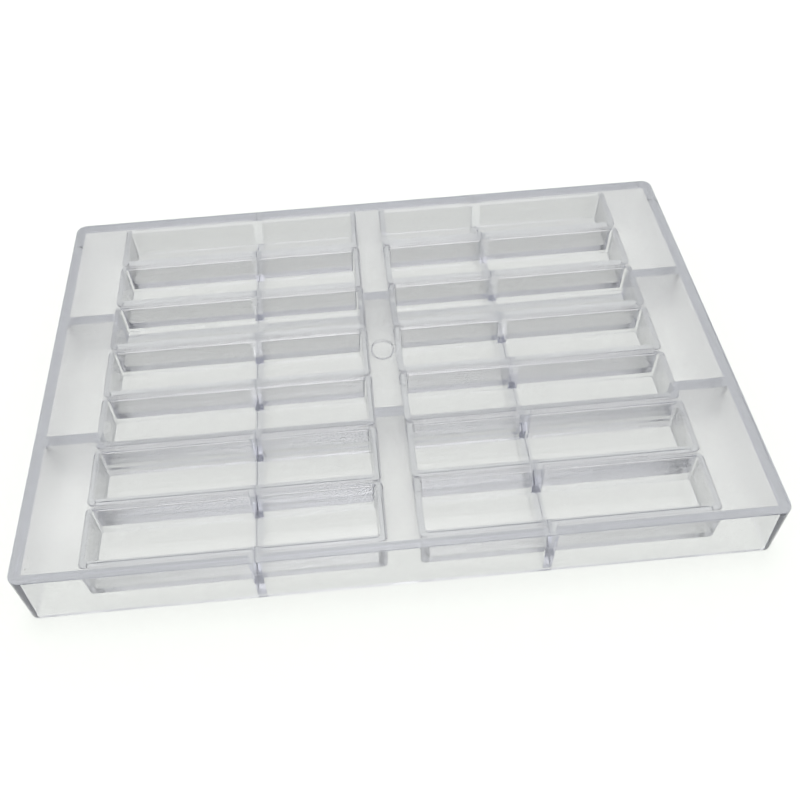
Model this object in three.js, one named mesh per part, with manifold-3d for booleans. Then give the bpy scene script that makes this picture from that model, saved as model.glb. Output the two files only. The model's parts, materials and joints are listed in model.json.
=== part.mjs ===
// Polycarbonate bar mould: 14 long troughs in two columns of seven, hung under a flat deck inside a
// deep skirt, with ribs under the deck. Millimetres, +Z up, standing on the skirt's lower edge.

import * as THREE from 'three';
import { mergeVertices } from 'three/addons/utils/BufferGeometryUtils.js';
import Module from 'manifold-3d';

const wasm = await Module();
wasm.setup();

// Driving dimensions
const LENGTH = 275; // along X
const WIDTH = 175; // along Y
const HEIGHT = 28;
const CORNER_RADIUS = 4.2;
const DECK_THICKNESS = 2.5;
const SKIRT_TOP = 4; // wall thickness under the deck
const SKIRT_FOOT = 3.2; // wall thickness at the lower edge

const COLUMN_X = 59.7; // middle of a column of troughs
const ROWS = 7;
const ROW_PITCH = 23.85;
const MOUTH_X = 103.6;
const MOUTH_Y = 19.6;
const TROUGH_DEPTH = 15;
const TROUGH_FLOOR = 2.5;
const END_WALL = 2.1; // tray wall at the mouth, at the two ends of a trough
const SIDE_WALL = 1.6; // tray wall at the mouth, along the two sides
const TRAY_CORNER = 2.6;
const TRAY_ROUND = 0.35; // rounding of the tray's lower edge

// Inward lean per mm of depth: trough ends, trough sides, and the same outside the tray
const END_DRAFT = 0.6 / TROUGH_DEPTH;
const SIDE_DRAFT = 1.3 / TROUGH_DEPTH;
const OUTER_END_DRAFT = 0.2 / TROUGH_DEPTH;
const OUTER_SIDE_DRAFT = 0.5 / TROUGH_DEPTH;

const LONG_RIB_X = 52.5; // ribs from front to back
const CROSS_RIB_Y = 30; // ribs from side to side
const LONG_RIB_THICKNESS = 4.2;
const CROSS_RIB_THICKNESS = 4.2;
const RIB_CLEARANCE = 0.5; // ribs stop this far above the surface the mould stands on
const GAP = 0.3; // between a rib and the tray that it passes

const GATE_DIAMETER = 9.6;
const GATE_HEIGHT = 1.2;

const ARC_STEPS = 3;
const CORNER_STEPS = 6;
const GATE_STEPS = 32;
const MARGIN = 5; // how far a cutting tool reaches past the solid it cuts

// Levels and places worked out from them
const UNDER_DECK = HEIGHT - DECK_THICKNESS;
const TROUGH_FLOOR_Z = HEIGHT - TROUGH_DEPTH;
const TRAY_BOTTOM_Z = TROUGH_FLOOR_Z - TROUGH_FLOOR;
const TRAY_X = MOUTH_X + 2 * END_WALL;
const TRAY_Y = MOUTH_Y + 2 * SIDE_WALL;
const TRAYS_Y = ROWS * ROW_PITCH;
const TRAY_INNER_X = COLUMN_X - TRAY_X / 2;
const TRAY_OUTER_X = COLUMN_X + TRAY_X / 2;
const SKIRT_INNER_X = LENGTH / 2 - SKIRT_TOP;

// Solids for cutting and joining

function toSolid(geometry) {
  const bare = geometry.clone();
  bare.deleteAttribute('normal');
  bare.deleteAttribute('uv');
  const merged = mergeVertices(bare, 1e-4);
  const mesh = new wasm.Mesh({
    numProp: 3,
    vertProperties: new Float32Array(merged.attributes.position.array),
    triVerts: new Uint32Array(merged.index.array),
  });
  return new wasm.Manifold(mesh);
}

function toGeometry(solid) {
  const mesh = solid.getMesh();
  const geometry = new THREE.BufferGeometry();
  geometry.setAttribute('position', new THREE.BufferAttribute(new Float32Array(mesh.vertProperties), 3));
  geometry.setIndex(new THREE.BufferAttribute(new Uint32Array(mesh.triVerts), 1));
  geometry.computeVertexNormals();
  return geometry;
}

// An upright box from its lowest and highest corners
function block(low, high) {
  const geometry = new THREE.BoxGeometry(high[0] - low[0], high[1] - low[1], high[2] - low[2]);
  geometry.translate((low[0] + high[0]) / 2, (low[1] + high[1]) / 2, (low[2] + high[2]) / 2);
  return geometry;
}

function roundedRectangle(sizeX, sizeY, radius) {
  const x = sizeX / 2;
  const y = sizeY / 2;
  const shape = new THREE.Shape();
  shape.moveTo(-x + radius, -y);
  shape.lineTo(x - radius, -y);
  shape.absarc(x - radius, -y + radius, radius, -Math.PI / 2, 0);
  shape.lineTo(x, y - radius);
  shape.absarc(x - radius, y - radius, radius, 0, Math.PI / 2);
  shape.lineTo(-x + radius, y);
  shape.absarc(-x + radius, y - radius, radius, Math.PI / 2, Math.PI);
  shape.lineTo(-x, -y + radius);
  shape.absarc(-x + radius, -y + radius, radius, Math.PI, Math.PI * 1.5);
  return shape;
}

// Leans the upright walls of a geometry centred on the Z axis: below topZ they move in by their draft
// for each millimetre of depth, or out where the draft is negative.
function lean(geometry, topZ, draftX, draftY) {
  const position = geometry.attributes.position;
  for (let i = 0; i < position.count; i += 1) {
    const depth = topZ - position.getZ(i);
    position.setX(i, position.getX(i) - Math.sign(position.getX(i)) * depth * draftX);
    position.setY(i, position.getY(i) - Math.sign(position.getY(i)) * depth * draftY);
  }
  return geometry;
}

// Skirt: a ring with rounded corners, thinner towards its lower edge
function skirtRing() {
  const outline = roundedRectangle(LENGTH, WIDTH, CORNER_RADIUS);
  const outer = new THREE.ExtrudeGeometry(outline, {
    depth: HEIGHT,
    bevelEnabled: false,
    curveSegments: CORNER_STEPS,
  });
  const innerRadius = CORNER_RADIUS - SKIRT_TOP;
  const opening = roundedRectangle(LENGTH - 2 * SKIRT_TOP, WIDTH - 2 * SKIRT_TOP, innerRadius);
  const inner = new THREE.ExtrudeGeometry(opening, {
    depth: UNDER_DECK + MARGIN,
    bevelEnabled: false,
    curveSegments: ARC_STEPS,
  });
  inner.translate(0, 0, -MARGIN);
  const draft = -(SKIRT_TOP - SKIRT_FOOT) / UNDER_DECK;
  lean(inner, UNDER_DECK, draft, draft);
  return toSolid(outer).subtract(toSolid(inner));
}

// The ring and the strip of deck beside it, as far in as the panels and trays begin
function skirtWalls() {
  const hollow = block(
    [-SKIRT_INNER_X, -TRAYS_Y / 2, UNDER_DECK - MARGIN],
    [SKIRT_INNER_X, TRAYS_Y / 2, HEIGHT + MARGIN],
  );
  const whole = skirtRing().subtract(toSolid(hollow));
  const farX = LENGTH / 2 + MARGIN;
  const farY = WIDTH / 2 + MARGIN;
  const nearY = TRAYS_Y / 2;
  const reach = [-MARGIN, HEIGHT + MARGIN];
  const quarters = {
    skirt_front: block([-farX, -farY, reach[0]], [farX, -nearY, reach[1]]),
    skirt_back: block([-farX, nearY, reach[0]], [farX, farY, reach[1]]),
    skirt_left: block([-farX, -nearY, reach[0]], [0, nearY, reach[1]]),
    skirt_right: block([0, -nearY, reach[0]], [farX, nearY, reach[1]]),
  };
  const walls = {};
  for (const [name, quarter] of Object.entries(quarters)) {
    walls[name] = toGeometry(whole.intersect(toSolid(quarter)));
  }
  return walls;
}

// Outside of a tray, centred on the Z axis, with a rounded lower edge; grow makes it larger all round.
// The outline is extruded in layers one unit apart, and each layer then moves to its height and inset.
function trayBody(grow) {
  const outline = roundedRectangle(TRAY_X + 2 * grow, TRAY_Y + 2 * grow, TRAY_CORNER + grow);
  const layers = ARC_STEPS + 1;
  const geometry = new THREE.ExtrudeGeometry(outline, {
    depth: layers,
    steps: layers,
    bevelEnabled: false,
    curveSegments: ARC_STEPS,
  });
  const position = geometry.attributes.position;
  for (let i = 0; i < position.count; i += 1) {
    const layer = Math.round(position.getZ(i));
    const angle = (Math.min(layer, ARC_STEPS) / ARC_STEPS) * (Math.PI / 2);
    const inset = TRAY_ROUND * (1 - Math.sin(angle));
    const roundZ = TRAY_BOTTOM_Z - grow + TRAY_ROUND * (1 - Math.cos(angle));
    position.setX(i, position.getX(i) - Math.sign(position.getX(i)) * inset);
    position.setY(i, position.getY(i) - Math.sign(position.getY(i)) * inset);
    position.setZ(i, layer === layers ? HEIGHT : roundZ);
  }
  return toSolid(lean(geometry, HEIGHT, OUTER_END_DRAFT, OUTER_SIDE_DRAFT));
}

// One trough with its walls, its floor and the strip of deck around its mouth
function trayGeometry() {
  const flange = block(
    [-TRAY_X / 2, -ROW_PITCH / 2, UNDER_DECK],
    [TRAY_X / 2, ROW_PITCH / 2, HEIGHT],
  );
  const trough = block(
    [-MOUTH_X / 2, -MOUTH_Y / 2, TROUGH_FLOOR_Z],
    [MOUTH_X / 2, MOUTH_Y / 2, HEIGHT + MARGIN],
  );
  lean(trough, HEIGHT, END_DRAFT, SIDE_DRAFT);
  return toGeometry(trayBody(0).add(toSolid(flange)).subtract(toSolid(trough)));
}

function rowY(row) {
  return (row - (ROWS + 1) / 2) * ROW_PITCH;
}

// A rib from low to high under the deck, notched around every tray
function ribGeometry(low, high) {
  let rib = toSolid(block([...low, RIB_CLEARANCE], [...high, UNDER_DECK]));
  const body = trayBody(GAP);
  for (const side of [-1, 1]) {
    for (let row = 1; row <= ROWS; row += 1) {
      rib = rib.subtract(body.translate([side * COLUMN_X, rowY(row), 0]));
    }
  }
  return toGeometry(rib);
}

function gatePad() {
  const geometry = new THREE.CylinderGeometry(
    GATE_DIAMETER / 2,
    GATE_DIAMETER / 2,
    GATE_HEIGHT,
    GATE_STEPS,
  );
  geometry.rotateX(Math.PI / 2);
  return geometry;
}

function clearPlastic() {
  return new THREE.MeshStandardMaterial({
    color: 0xe4e7e8,
    roughness: 0.12,
    metalness: 0,
    transparent: true,
    opacity: 0.35,
  });
}

// The scene

const mould = new THREE.Group();

function place(name, geometry, x = 0, y = 0, z = 0) {
  const mesh = new THREE.Mesh(geometry, clearPlastic());
  mesh.name = name;
  mesh.position.set(x, y, z);
  mould.add(mesh);
}

for (const [name, geometry] of Object.entries(skirtWalls())) {
  place(name, geometry);
}

const panelY = TRAYS_Y / 2;
place(
  'deck_panel_left',
  block([-SKIRT_INNER_X, -panelY, UNDER_DECK], [-TRAY_OUTER_X, panelY, HEIGHT]),
);
place(
  'deck_panel_centre',
  block([-TRAY_INNER_X, -panelY, UNDER_DECK], [TRAY_INNER_X, panelY, HEIGHT]),
);
place(
  'deck_panel_right',
  block([TRAY_OUTER_X, -panelY, UNDER_DECK], [SKIRT_INNER_X, panelY, HEIGHT]),
);
place('gate_pad', gatePad(), 0, 0, UNDER_DECK - GATE_HEIGHT / 2);

const tray = trayGeometry();
for (let row = 1; row <= ROWS; row += 1) {
  place(`tray_left_${row}`, tray.clone(), -COLUMN_X, rowY(row));
  place(`tray_right_${row}`, tray.clone(), COLUMN_X, rowY(row));
}

const halfLong = LONG_RIB_THICKNESS / 2;
const halfCross = CROSS_RIB_THICKNESS / 2;
const skirtInnerY = WIDTH / 2 - SKIRT_TOP;
for (const [side, x] of [['left', -LONG_RIB_X], ['right', LONG_RIB_X]]) {
  place(`long_rib_${side}`, ribGeometry([x - halfLong, -skirtInnerY], [x + halfLong, skirtInnerY]));
}

// Each cross rib is in three lengths, between the skirt and the two long ribs
const lengths = {
  left: [-SKIRT_INNER_X, -LONG_RIB_X - halfLong],
  centre: [-LONG_RIB_X + halfLong, LONG_RIB_X - halfLong],
  right: [LONG_RIB_X + halfLong, SKIRT_INNER_X],
};
for (const [line, y] of [['front', -CROSS_RIB_Y], ['back', CROSS_RIB_Y]]) {
  for (const [part, [fromX, toX]] of Object.entries(lengths)) {
    place(`cross_rib_${line}_${part}`, ribGeometry([fromX, y - halfCross], [toX, y + halfCross]));
  }
}

export default mould;
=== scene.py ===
"""Looks of the clear bar mould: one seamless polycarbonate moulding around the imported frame."""

import json
import math

import bmesh
import bpy
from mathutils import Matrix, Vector


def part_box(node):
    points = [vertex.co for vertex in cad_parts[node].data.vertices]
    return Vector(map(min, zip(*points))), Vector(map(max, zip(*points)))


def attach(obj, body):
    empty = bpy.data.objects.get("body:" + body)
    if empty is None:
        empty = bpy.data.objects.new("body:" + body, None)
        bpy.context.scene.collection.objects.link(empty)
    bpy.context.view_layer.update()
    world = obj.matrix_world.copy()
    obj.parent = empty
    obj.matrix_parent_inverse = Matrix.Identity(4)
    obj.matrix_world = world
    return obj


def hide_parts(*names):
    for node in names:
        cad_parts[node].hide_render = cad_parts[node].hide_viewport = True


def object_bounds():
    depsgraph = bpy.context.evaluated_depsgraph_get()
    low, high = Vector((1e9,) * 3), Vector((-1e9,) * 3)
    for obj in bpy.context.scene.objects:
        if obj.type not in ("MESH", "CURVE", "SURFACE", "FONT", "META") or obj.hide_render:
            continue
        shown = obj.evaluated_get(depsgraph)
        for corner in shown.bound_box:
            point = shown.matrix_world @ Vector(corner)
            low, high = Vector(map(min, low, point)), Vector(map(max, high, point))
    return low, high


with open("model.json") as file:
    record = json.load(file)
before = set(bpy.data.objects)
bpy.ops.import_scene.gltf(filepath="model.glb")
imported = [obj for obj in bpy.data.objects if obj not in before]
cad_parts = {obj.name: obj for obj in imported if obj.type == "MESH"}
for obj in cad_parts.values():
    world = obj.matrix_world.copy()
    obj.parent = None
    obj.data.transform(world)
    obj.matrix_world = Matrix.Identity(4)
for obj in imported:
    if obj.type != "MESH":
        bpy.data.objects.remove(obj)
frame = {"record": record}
cad_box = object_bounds()

MM = 0.001

# Sizes that the frame's boxes don't give, in metres
SKIRT_FOOT = 3.2 * MM
SKIRT_CORNER = 4.2 * MM
SKIRT_INNER_CORNER = 0.5 * MM
EDGE_ROUND = 0.45 * MM
FILLET = 0.35 * MM
TRAY_CORNER = 1.8 * MM
TRAY_ROUND = 0.35 * MM
TRAY_FILLET = 0.45 * MM
MOUTH_Y = 19.6 * MM
TROUGH_DEPTH = 15.0 * MM
INNER_LEAN = (0.6 / 15, 1.3 / 15)  # inward lean of a trough's ends and sides for each unit of depth
OUTER_LEAN = (0.2 / 15, 0.5 / 15)  # the same outside the tray
END_WALL = 2.1 * MM
SIDE_WALL = 1.6 * MM
TROUGH_CORNER = 0.9 * MM
TROUGH_ROUND = 0.4 * MM
MOUTH_ROUND = 0.25 * MM
RIB_FOOT = 3.2 * MM
RIB_FOOT_ROUND = 0.4 * MM
DISH_RADIUS = 4.6 * MM  # a shallow dish over the gate pad
DISH_DEPTH = 0.25 * MM
OVERLAP = 1.0 * MM  # how far one solid runs into the next before they are joined

ROUND_STEPS = 6
CORNER_STEPS = 8
SHARP_ANGLE = math.radians(32)
WELD = 1e-7
TOUCH = 0.01 * MM

# How matt the underside is: 0 is polished, 1 is the satin of the deck
SKIRT_FINISH = 0.0
TRAY_FINISH = 0.5
TRAY_FLOOR_FINISH = 0.3

# Plastic
PLASTIC_TINT = (0.84, 0.84, 0.84, 1)
DIRT_TINT = (0.2, 0.19, 0.17, 1)
PLASTIC_IOR = 1.585
ABSORBED_TINT = (0.37, 0.385, 0.475, 1)
ABSORBED_DENSITY = 24
WIPED_ROUGHNESS = (0.015, 0.05)
SATIN_ROUGHNESS = (0.42, 0.5)
SCRATCH_ROUGHNESS = 0.06
WAVE_HEIGHT = 0.02 * MM

# Floor and room
FLOOR_SIZE = 6.0
FLOOR_DROP = 0.1 * MM
FLOOR_TINT = (0.24, 0.246, 0.236, 1)
FLOOR_GLOW = (0.66, 0.674, 0.648, 1)
FLOOR_GLOW_STRENGTH = 0.98
ROOM_LIGHT = 1.4
HORIZON_TINT = (0.5, 0.5, 0.53, 1)
LAMPS = (  # direction, radius as an angle, added light
    ((0.0, 0.19, 0.98), math.radians(18), 5.4),
    ((-0.2912, 0.4668, 0.835), math.radians(2.2), 0.9),
    ((-0.2737, 0.5027, 0.82), math.radians(2.0), 0.8),
)

# Camera
CAMERA_PLACE = (-13.23 * MM, -234.97 * MM, 333.65 * MM)
CAMERA_TURN = (math.radians(45.1389), math.radians(2.1661), math.radians(-4.5026))
CAMERA_LENS = 41.67
CAMERA_SHIFT = (0.0412, -0.2185)
LIGHT_BOUNCES = 64


# Places from the frame

def span(node):
    """A node's lowest and highest corners."""
    lowest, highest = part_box(node)
    return Vector(lowest), Vector(highest)


HALF_X = cad_box[1][0]
HALF_Y = cad_box[1][1]
TOP = cad_box[1][2]
UNDER_DECK = span("deck_panel_left")[0].z
SKIRT_WALL = HALF_X - span("deck_panel_right")[1].x
NODES = [entry["node"] for entry in frame["record"]["subparts"]]
GATE_SPAN = span("gate_pad")
TRAY_SPANS = [span(name) for name in NODES if name.startswith("tray_")]


# Solids, as lofts of rounded rectangles

def ring(half_x, half_y, radius):
    """Points of a rounded rectangle round the Z axis, anticlockwise."""
    points = []
    steps = CORNER_STEPS if radius > 0 else 0
    for sign_x, sign_y, start in ((1, -1, -90), (1, 1, 0), (-1, 1, 90), (-1, -1, 180)):
        centre_x = sign_x * (half_x - radius)
        centre_y = sign_y * (half_y - radius)
        for step in range(steps + 1):
            angle = math.radians(start + 90 * step / CORNER_STEPS)
            points.append((centre_x + radius * math.cos(angle), centre_y + radius * math.sin(angle)))
    return points


def quarter():
    """(1 - cos, 1 - sin) in equal turns of a quarter circle: from (0, 1) to (1, 0)."""
    for step in range(ROUND_STEPS + 1):
        turn = math.pi / 2 * step / ROUND_STEPS
        yield 1 - math.cos(turn), 1 - math.sin(turn)


def loft(bm, sections, centre=(0, 0)):
    """A closed solid through (z, half_x, half_y, corner radius) sections, lowest first."""
    rings = []
    for z, half_x, half_y, radius in sections:
        outline = ring(half_x, half_y, radius)
        rings.append([bm.verts.new((centre[0] + x, centre[1] + y, z)) for x, y in outline])
    count = len(rings[0])
    for lower, upper in zip(rings, rings[1:]):
        for i in range(count):
            j = (i + 1) % count
            bm.faces.new((lower[i], lower[j], upper[j], upper[i]))
    bm.faces.new(list(reversed(rings[0])))
    bm.faces.new(rings[-1])


def solid(name, lofts):
    """One object from (sections, centre) pairs."""
    bm = bmesh.new()
    for sections, centre in lofts:
        loft(bm, sections, centre)
    bmesh.ops.remove_doubles(bm, verts=bm.verts, dist=WELD)
    mesh = bpy.data.meshes.new(name)
    bm.to_mesh(mesh)
    bm.free()
    made = bpy.data.objects.new(name, mesh)
    bpy.context.scene.collection.objects.link(made)
    return made


def block_sections():
    """The whole mould as one block, with its foot and top edges rounded."""
    rounds = [(EDGE_ROUND * along, EDGE_ROUND * across) for along, across in quarter()]
    sections = [(z, HALF_X - inset, HALF_Y - inset, SKIRT_CORNER - inset) for z, inset in rounds]
    for z, inset in reversed(rounds):
        sections.append((TOP - z, HALF_X - inset, HALF_Y - inset, SKIRT_CORNER - inset))
    return sections


def hollow_sections():
    """The hollow below the deck: wider at the foot, and filleted where it meets the deck."""
    foot_x, foot_y = HALF_X - SKIRT_FOOT, HALF_Y - SKIRT_FOOT
    deck_x, deck_y = HALF_X - SKIRT_WALL, HALF_Y - SKIRT_WALL
    radius = SKIRT_INNER_CORNER
    sections = [(-OVERLAP, foot_x + EDGE_ROUND, foot_y + EDGE_ROUND, radius + EDGE_ROUND)]
    for along, across in quarter():
        flare = EDGE_ROUND * across
        sections.append((EDGE_ROUND * along, foot_x + flare, foot_y + flare, radius + flare))
    for along, across in reversed(list(quarter())):
        inset = FILLET * across
        corner = radius * (1 - across * 0.8)
        sections.append((UNDER_DECK - FILLET * along, deck_x - inset, deck_y - inset, corner))
    return sections


def tray_sections(half_x, half_y, bottom):
    """The outside of a tray, from its rounded lower edge up into the deck."""
    def section(z, outset, corner):
        lean_x, lean_y = OUTER_LEAN
        depth = TOP - z
        return z, half_x + outset - lean_x * depth, half_y + outset - lean_y * depth, corner

    sections = []
    for along, across in quarter():
        corner = TRAY_CORNER * (1 - across * 0.7)
        sections.append(section(bottom + TRAY_ROUND * along, -TRAY_ROUND * across, corner))
    for along, across in quarter():
        outset = TRAY_FILLET * along
        sections.append(section(UNDER_DECK - TRAY_FILLET * across, outset, TRAY_CORNER + outset))
    sections.append(section(UNDER_DECK + OVERLAP, TRAY_FILLET, TRAY_CORNER + TRAY_FILLET))
    return sections


def trough_sections(half_x, half_y):
    """The space in a trough, from its floor up past its mouth."""
    floor = TOP - TROUGH_DEPTH

    def section(z, outset, corner):
        lean_x, lean_y = INNER_LEAN
        depth = max(TOP - z, 0)
        return z, half_x + outset - lean_x * depth, half_y + outset - lean_y * depth, corner

    sections = []
    for along, across in quarter():
        corner = TROUGH_CORNER * (1 - across * 0.8)
        sections.append(section(floor + TROUGH_ROUND * along, -TROUGH_ROUND * across, corner))
    for along, across in quarter():
        outset = MOUTH_ROUND * along
        sections.append(section(TOP - MOUTH_ROUND * across, outset, TROUGH_CORNER + outset))
    sections.append(section(TOP + OVERLAP, MOUTH_ROUND, TROUGH_CORNER + MOUTH_ROUND))
    return sections


def rib_sections(half_x, half_y, foot_x, foot_y, bottom):
    """A rib that thickens from its foot to its fillet with the deck. half_ and foot_ are half sizes."""
    sections = []
    for along, across in quarter():
        inset = RIB_FOOT_ROUND * across
        sections.append((bottom + RIB_FOOT_ROUND * along, foot_x - inset, foot_y - inset, 0))
    for along, across in quarter():
        outset = FILLET * along
        sections.append((UNDER_DECK - FILLET * across, half_x + outset, half_y + outset, 0))
    sections.append((UNDER_DECK + OVERLAP, half_x + FILLET, half_y + FILLET, 0))
    return sections


def centre_of(lowest, highest):
    """Where the middle of a box is along X and Y."""
    middle = (lowest + highest) / 2
    return middle.x, middle.y


def trays_and_troughs():
    """Lofts for all the tray bodies and for all the troughs in them."""
    bodies, troughs = [], []
    for lowest, highest in TRAY_SPANS:
        half_x = (highest.x - lowest.x) / 2
        mouth_y = MOUTH_Y / 2
        centre = centre_of(lowest, highest)
        bodies.append((tray_sections(half_x, mouth_y + SIDE_WALL, lowest.z), centre))
        troughs.append((trough_sections(half_x - END_WALL, mouth_y), centre))
    return bodies, troughs


def long_ribs():
    """Lofts for the two ribs from front to back."""
    lofts = []
    for side in ("left", "right"):
        lowest, highest = span(f"long_rib_{side}")
        half_y = highest.y + OVERLAP
        half_x = (highest.x - lowest.x) / 2
        sections = rib_sections(half_x, half_y, RIB_FOOT / 2, half_y, lowest.z)
        lofts.append((sections, centre_of(lowest, highest)))
    return lofts


def cross_ribs():
    """Lofts for the two ribs from side to side."""
    lofts = []
    for line in ("front", "back"):
        lowest, highest = span(f"cross_rib_{line}_right")
        half_x = highest.x + OVERLAP
        half_y = (highest.y - lowest.y) / 2
        sections = rib_sections(half_x, half_y, half_x, RIB_FOOT / 2, lowest.z)
        lofts.append((sections, (0, (lowest.y + highest.y) / 2)))
    return lofts


def gate():
    """The round pad under the middle of the deck, with a rounded lower edge."""
    lowest, highest = GATE_SPAN
    radius = (highest.x - lowest.x) / 2
    depth = highest.z - lowest.z
    sections = []
    for along, across in quarter():
        reach = radius - depth * across
        sections.append((lowest.z + depth * along, reach, reach, reach))
    sections.append((highest.z + OVERLAP, radius, radius, radius))
    return [(sections, (0, 0))]


def gate_dish():
    """The space in the shallow dish in the deck, over the gate pad."""
    sections = []
    for along, across in quarter():
        reach = DISH_RADIUS - DISH_DEPTH * across
        sections.append((TOP - DISH_DEPTH + DISH_DEPTH * along, reach, reach, reach))
    sections.append((TOP + OVERLAP, DISH_RADIUS, DISH_RADIUS, DISH_RADIUS))
    return [(sections, (0, 0))]


def combine(target, tool, operation):
    """Joins or cuts target by tool, and removes tool."""
    modifier = target.modifiers.new("combine", "BOOLEAN")
    modifier.operation = operation
    modifier.solver = "MANIFOLD"
    modifier.object = tool
    depsgraph = bpy.context.evaluated_depsgraph_get()
    result = bpy.data.meshes.new_from_object(target.evaluated_get(depsgraph))
    target.modifiers.clear()
    target.data = result
    bpy.data.objects.remove(tool)


def in_a_trough(point):
    """True on the floor or the walls of a trough."""
    if point.z < TOP - TROUGH_DEPTH - TOUCH:
        return False
    for lowest, highest in TRAY_SPANS:
        if lowest.x + END_WALL / 2 < point.x < highest.x - END_WALL / 2:
            if lowest.y + SIDE_WALL / 2 < point.y < highest.y - SIDE_WALL / 2:
                return True
    return False


def on_gate_pad(point):
    """True on the underside of the pad in the middle of the deck."""
    lowest, highest = GATE_SPAN
    return math.hypot(point.x, point.y) < highest.x + TOUCH and lowest.z - TOUCH < point.z < UNDER_DECK


def finish_at(point):
    """How matt a face is: 0 where the mould is polished and 1 under the deck."""
    if abs(point.z - UNDER_DECK) < TOUCH or on_gate_pad(point):
        return 1.0
    if point.z > TOP - EDGE_ROUND or in_a_trough(point):
        return 0.0
    if abs(point.x) > HALF_X - SKIRT_FOOT / 2 or abs(point.y) > HALF_Y - SKIRT_FOOT / 2:
        return 0.0
    if abs(point.x) > HALF_X - SKIRT_WALL - TOUCH or abs(point.y) > HALF_Y - SKIRT_WALL - TOUCH:
        return SKIRT_FINISH
    if abs(point.z - TRAY_SPANS[0][0].z) < TOUCH:
        return TRAY_FLOOR_FINISH
    return TRAY_FINISH


def mark_satin(mesh):
    """Face attribute "satin": how matt each face is, from finish_at."""
    satin = mesh.attributes.new("satin", "FLOAT", "FACE")
    for face in mesh.polygons:
        satin.data[face.index].value = finish_at(face.center)


def make_mould():
    """The whole moulding as one closed surface."""
    mould = solid("mould", [(block_sections(), (0, 0))])
    bodies, troughs = trays_and_troughs()
    combine(mould, solid("hollow", [(hollow_sections(), (0, 0))]), "DIFFERENCE")
    for first in (0, 1):
        # Neighbours' fillets meet, so they are joined on in two turns
        combine(mould, solid("bodies", bodies[first::2]), "UNION")
    combine(mould, solid("long_ribs", long_ribs()), "UNION")
    combine(mould, solid("cross_ribs", cross_ribs()), "UNION")
    combine(mould, solid("gate", gate()), "UNION")
    combine(mould, solid("troughs", troughs), "DIFFERENCE")
    combine(mould, solid("dish", gate_dish()), "DIFFERENCE")
    mesh = mould.data
    mark_satin(mesh)
    mesh.shade_smooth()
    mesh.set_sharp_from_angle(angle=SHARP_ANGLE)
    normals = mould.modifiers.new("normals", "WEIGHTED_NORMAL")
    normals.keep_sharp = True
    normals.weight = 100
    return mould


# Materials

def noise(nodes, links, scale, detail, source):
    """A noise texture in metres over the mould; returns its factor."""
    texture = nodes.new("ShaderNodeTexNoise")
    texture.inputs["Scale"].default_value = scale
    texture.inputs["Detail"].default_value = detail
    links.new(source, texture.inputs["Vector"])
    return texture.outputs["Fac"]


def spread(nodes, links, source, low, high, from_low=0.3, from_high=0.7):
    """Source, stretched from from_low..from_high to low..high."""
    node = nodes.new("ShaderNodeMapRange")
    node.inputs["From Min"].default_value = from_low
    node.inputs["From Max"].default_value = from_high
    node.inputs["To Min"].default_value = low
    node.inputs["To Max"].default_value = high
    links.new(source, node.inputs["Value"])
    return node.outputs["Result"]


def blend(nodes, links, factor, first, second):
    """A number that goes from first to second with factor."""
    node = nodes.new("ShaderNodeMix")
    node.data_type = "FLOAT"
    links.new(factor, node.inputs[0])
    links.new(first, node.inputs[2])
    links.new(second, node.inputs[3])
    return node.outputs[0]


def add(nodes, links, first, second):
    """The sum of two numbers."""
    node = nodes.new("ShaderNodeMath")
    links.new(first, node.inputs[0])
    links.new(second, node.inputs[1])
    return node.outputs[0]


def scratches(nodes, links, place):
    """Fine wiping marks across the mould: extra roughness on thin, long streaks."""
    stretch = nodes.new("ShaderNodeMapping")
    stretch.inputs["Rotation"].default_value = (0, 0, math.radians(12))
    stretch.inputs["Scale"].default_value = (25, 1100, 25)
    links.new(place, stretch.inputs["Vector"])
    streaks = noise(nodes, links, 1, 2, stretch.outputs["Vector"])
    return spread(nodes, links, streaks, 0, SCRATCH_ROUGHNESS, 0.66, 0.74)


def specks(nodes, links, place):
    """Nearly 1 in a few tiny round bits of dirt, and 0 elsewhere."""
    cells = nodes.new("ShaderNodeTexVoronoi")
    cells.inputs["Scale"].default_value = 70
    links.new(place, cells.inputs["Vector"])
    dots = spread(nodes, links, cells.outputs["Distance"], 0.9, 0, 0.018, 0.026)
    pick = nodes.new("ShaderNodeSeparateColor")
    links.new(cells.outputs["Color"], pick.inputs[0])
    rare = nodes.new("ShaderNodeMath")
    rare.operation = "GREATER_THAN"
    rare.inputs[1].default_value = 0.7
    links.new(pick.outputs["Red"], rare.inputs[0])
    both = nodes.new("ShaderNodeMath")
    both.operation = "MULTIPLY"
    links.new(dots, both.inputs[0])
    links.new(rare.outputs[0], both.inputs[1])
    return both.outputs[0]


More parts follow.
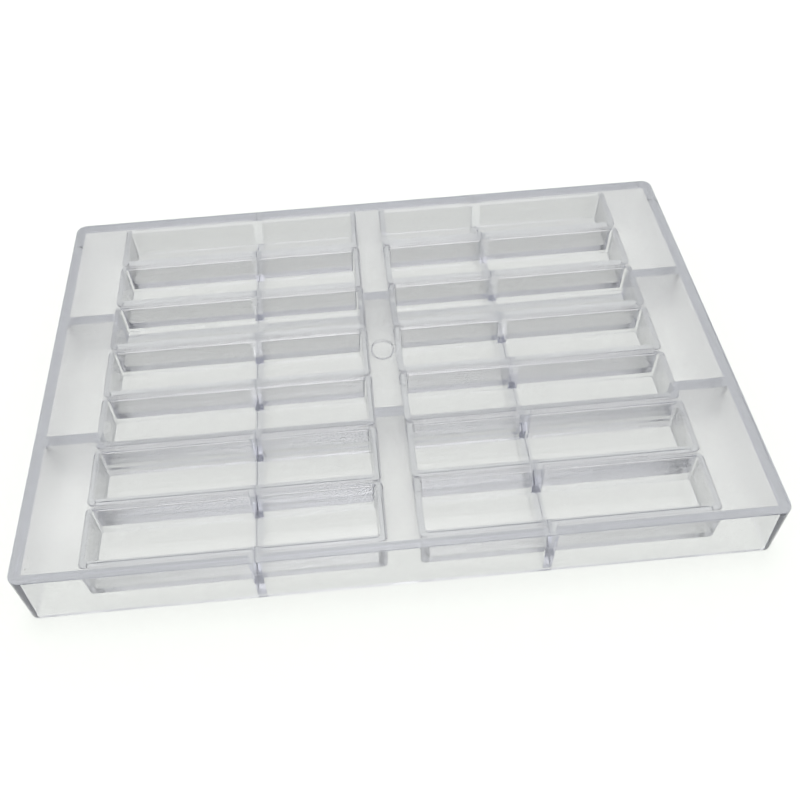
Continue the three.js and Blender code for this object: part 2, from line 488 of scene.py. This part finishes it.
def clear_polycarbonate():
    """Clear moulded plastic: polished where the tool's cavity was, satin on the core side."""
    material = bpy.data.materials.new("clear_polycarbonate")
    material.use_nodes = True
    nodes, links = material.node_tree.nodes, material.node_tree.links
    shader = nodes["Principled BSDF"]
    shader.inputs["Transmission Weight"].default_value = 1
    shader.inputs["IOR"].default_value = PLASTIC_IOR

    place = nodes.new("ShaderNodeTexCoord").outputs["Object"]
    satin = nodes.new("ShaderNodeAttribute")
    satin.attribute_name = "satin"
    wiped = spread(nodes, links, noise(nodes, links, 35, 4, place), *WIPED_ROUGHNESS)
    scratched = add(nodes, links, wiped, scratches(nodes, links, place))
    etched = spread(nodes, links, noise(nodes, links, 90, 5, place), *SATIN_ROUGHNESS)
    finish = blend(nodes, links, satin.outputs["Fac"], scratched, etched)
    links.new(finish, shader.inputs["Roughness"])

    tint = nodes.new("ShaderNodeMix")
    tint.data_type = "RGBA"
    tint.inputs[6].default_value = PLASTIC_TINT
    tint.inputs[7].default_value = DIRT_TINT
    links.new(specks(nodes, links, place), tint.inputs[0])
    links.new(tint.outputs[2], shader.inputs["Base Color"])

    wavy = nodes.new("ShaderNodeBump")
    wavy.inputs["Strength"].default_value = 0.3
    wavy.inputs["Distance"].default_value = WAVE_HEIGHT
    links.new(noise(nodes, links, 120, 2, place), wavy.inputs["Height"])
    links.new(wavy.outputs["Normal"], shader.inputs["Normal"])

    absorb = nodes.new("ShaderNodeVolumeAbsorption")
    absorb.inputs["Color"].default_value = ABSORBED_TINT
    absorb.inputs["Density"].default_value = ABSORBED_DENSITY
    links.new(absorb.outputs["Volume"], nodes["Material Output"].inputs["Volume"])
    return material


def pale_floor():
    """A pale floor that is partly lit from within, like a light table."""
    material = bpy.data.materials.new("pale_floor")
    material.use_nodes = True
    shader = material.node_tree.nodes["Principled BSDF"]
    shader.inputs["Base Color"].default_value = FLOOR_TINT
    shader.inputs["Roughness"].default_value = 0.7
    shader.inputs["Emission Color"].default_value = FLOOR_GLOW
    shader.inputs["Emission Strength"].default_value = FLOOR_GLOW_STRENGTH
    material.cycles.emission_sampling = "NONE"
    return material


# Light

def glow(nodes, links, facing, direction, width, light):
    """Light from a soft round patch of the room. width is the patch's radius as an angle."""
    toward = nodes.new("ShaderNodeVectorMath")
    toward.operation = "DOT_PRODUCT"
    toward.inputs[1].default_value = Vector(direction).normalized()
    links.new(facing, toward.inputs[0])
    patch = nodes.new("ShaderNodeMapRange")
    patch.interpolation_type = "SMOOTHERSTEP"
    patch.inputs["From Min"].default_value = math.cos(width)
    patch.inputs["From Max"].default_value = 1
    patch.inputs["To Max"].default_value = light
    links.new(toward.outputs["Value"], patch.inputs["Value"])
    return patch.outputs["Result"]


def studio_world():
    """An even room, darker towards the horizon, with a wide lamp overhead and two small soft ones.

    It isn't sampled as a lamp, so that its light comes through the plastic.
    """
    world = bpy.data.worlds.new("studio")
    world.use_nodes = True
    world.cycles.sampling_method = "NONE"
    nodes, links = world.node_tree.nodes, world.node_tree.links
    facing = nodes.new("ShaderNodeTexCoord").outputs["Generated"]
    split = nodes.new("ShaderNodeSeparateXYZ")
    links.new(facing, split.inputs[0])
    ramp = nodes.new("ShaderNodeValToRGB")
    links.new(split.outputs["Z"], ramp.inputs[0])
    ramp.color_ramp.elements[0].position = 0.05
    ramp.color_ramp.elements[0].color = HORIZON_TINT
    ramp.color_ramp.elements[1].position = 0.9
    ramp.color_ramp.elements[1].color = (1, 1, 1, 1)
    background = nodes["Background"]
    links.new(ramp.outputs["Color"], background.inputs["Color"])
    strength = ROOM_LIGHT
    for direction, width, light in LAMPS:
        total = nodes.new("ShaderNodeMath")
        links.new(glow(nodes, links, facing, direction, width, light), total.inputs[0])
        if isinstance(strength, float):
            total.inputs[1].default_value = strength
        else:
            links.new(strength, total.inputs[1])
        strength = total.outputs[0]
    links.new(strength, background.inputs["Strength"])
    return world


# The scene

mould = make_mould()
mould.data.materials.clear()  # the booleans leave an empty slot
mould.data.materials.append(clear_polycarbonate())
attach(mould, "root")
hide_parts(*NODES)

bpy.ops.mesh.primitive_plane_add(size=FLOOR_SIZE, location=(0, 0, -FLOOR_DROP))
floor = bpy.context.object
floor.name = "floor"
floor.data.materials.append(pale_floor())

scene = bpy.context.scene
scene.world = studio_world()

camera = bpy.data.objects.new("camera", bpy.data.cameras.new("camera"))
scene.collection.objects.link(camera)
camera.data.lens = CAMERA_LENS
camera.data.shift_x, camera.data.shift_y = CAMERA_SHIFT
camera.location = CAMERA_PLACE
camera.rotation_euler = CAMERA_TURN
bpy.context.scene.camera = camera

scene.cycles.max_bounces = LIGHT_BOUNCES
scene.cycles.transmission_bounces = LIGHT_BOUNCES
scene.cycles.glossy_bounces = LIGHT_BOUNCES
scene.cycles.blur_glossy = 0
scene.cycles.denoising_input_passes = "RGB"
scene.view_settings.view_transform = "Standard"
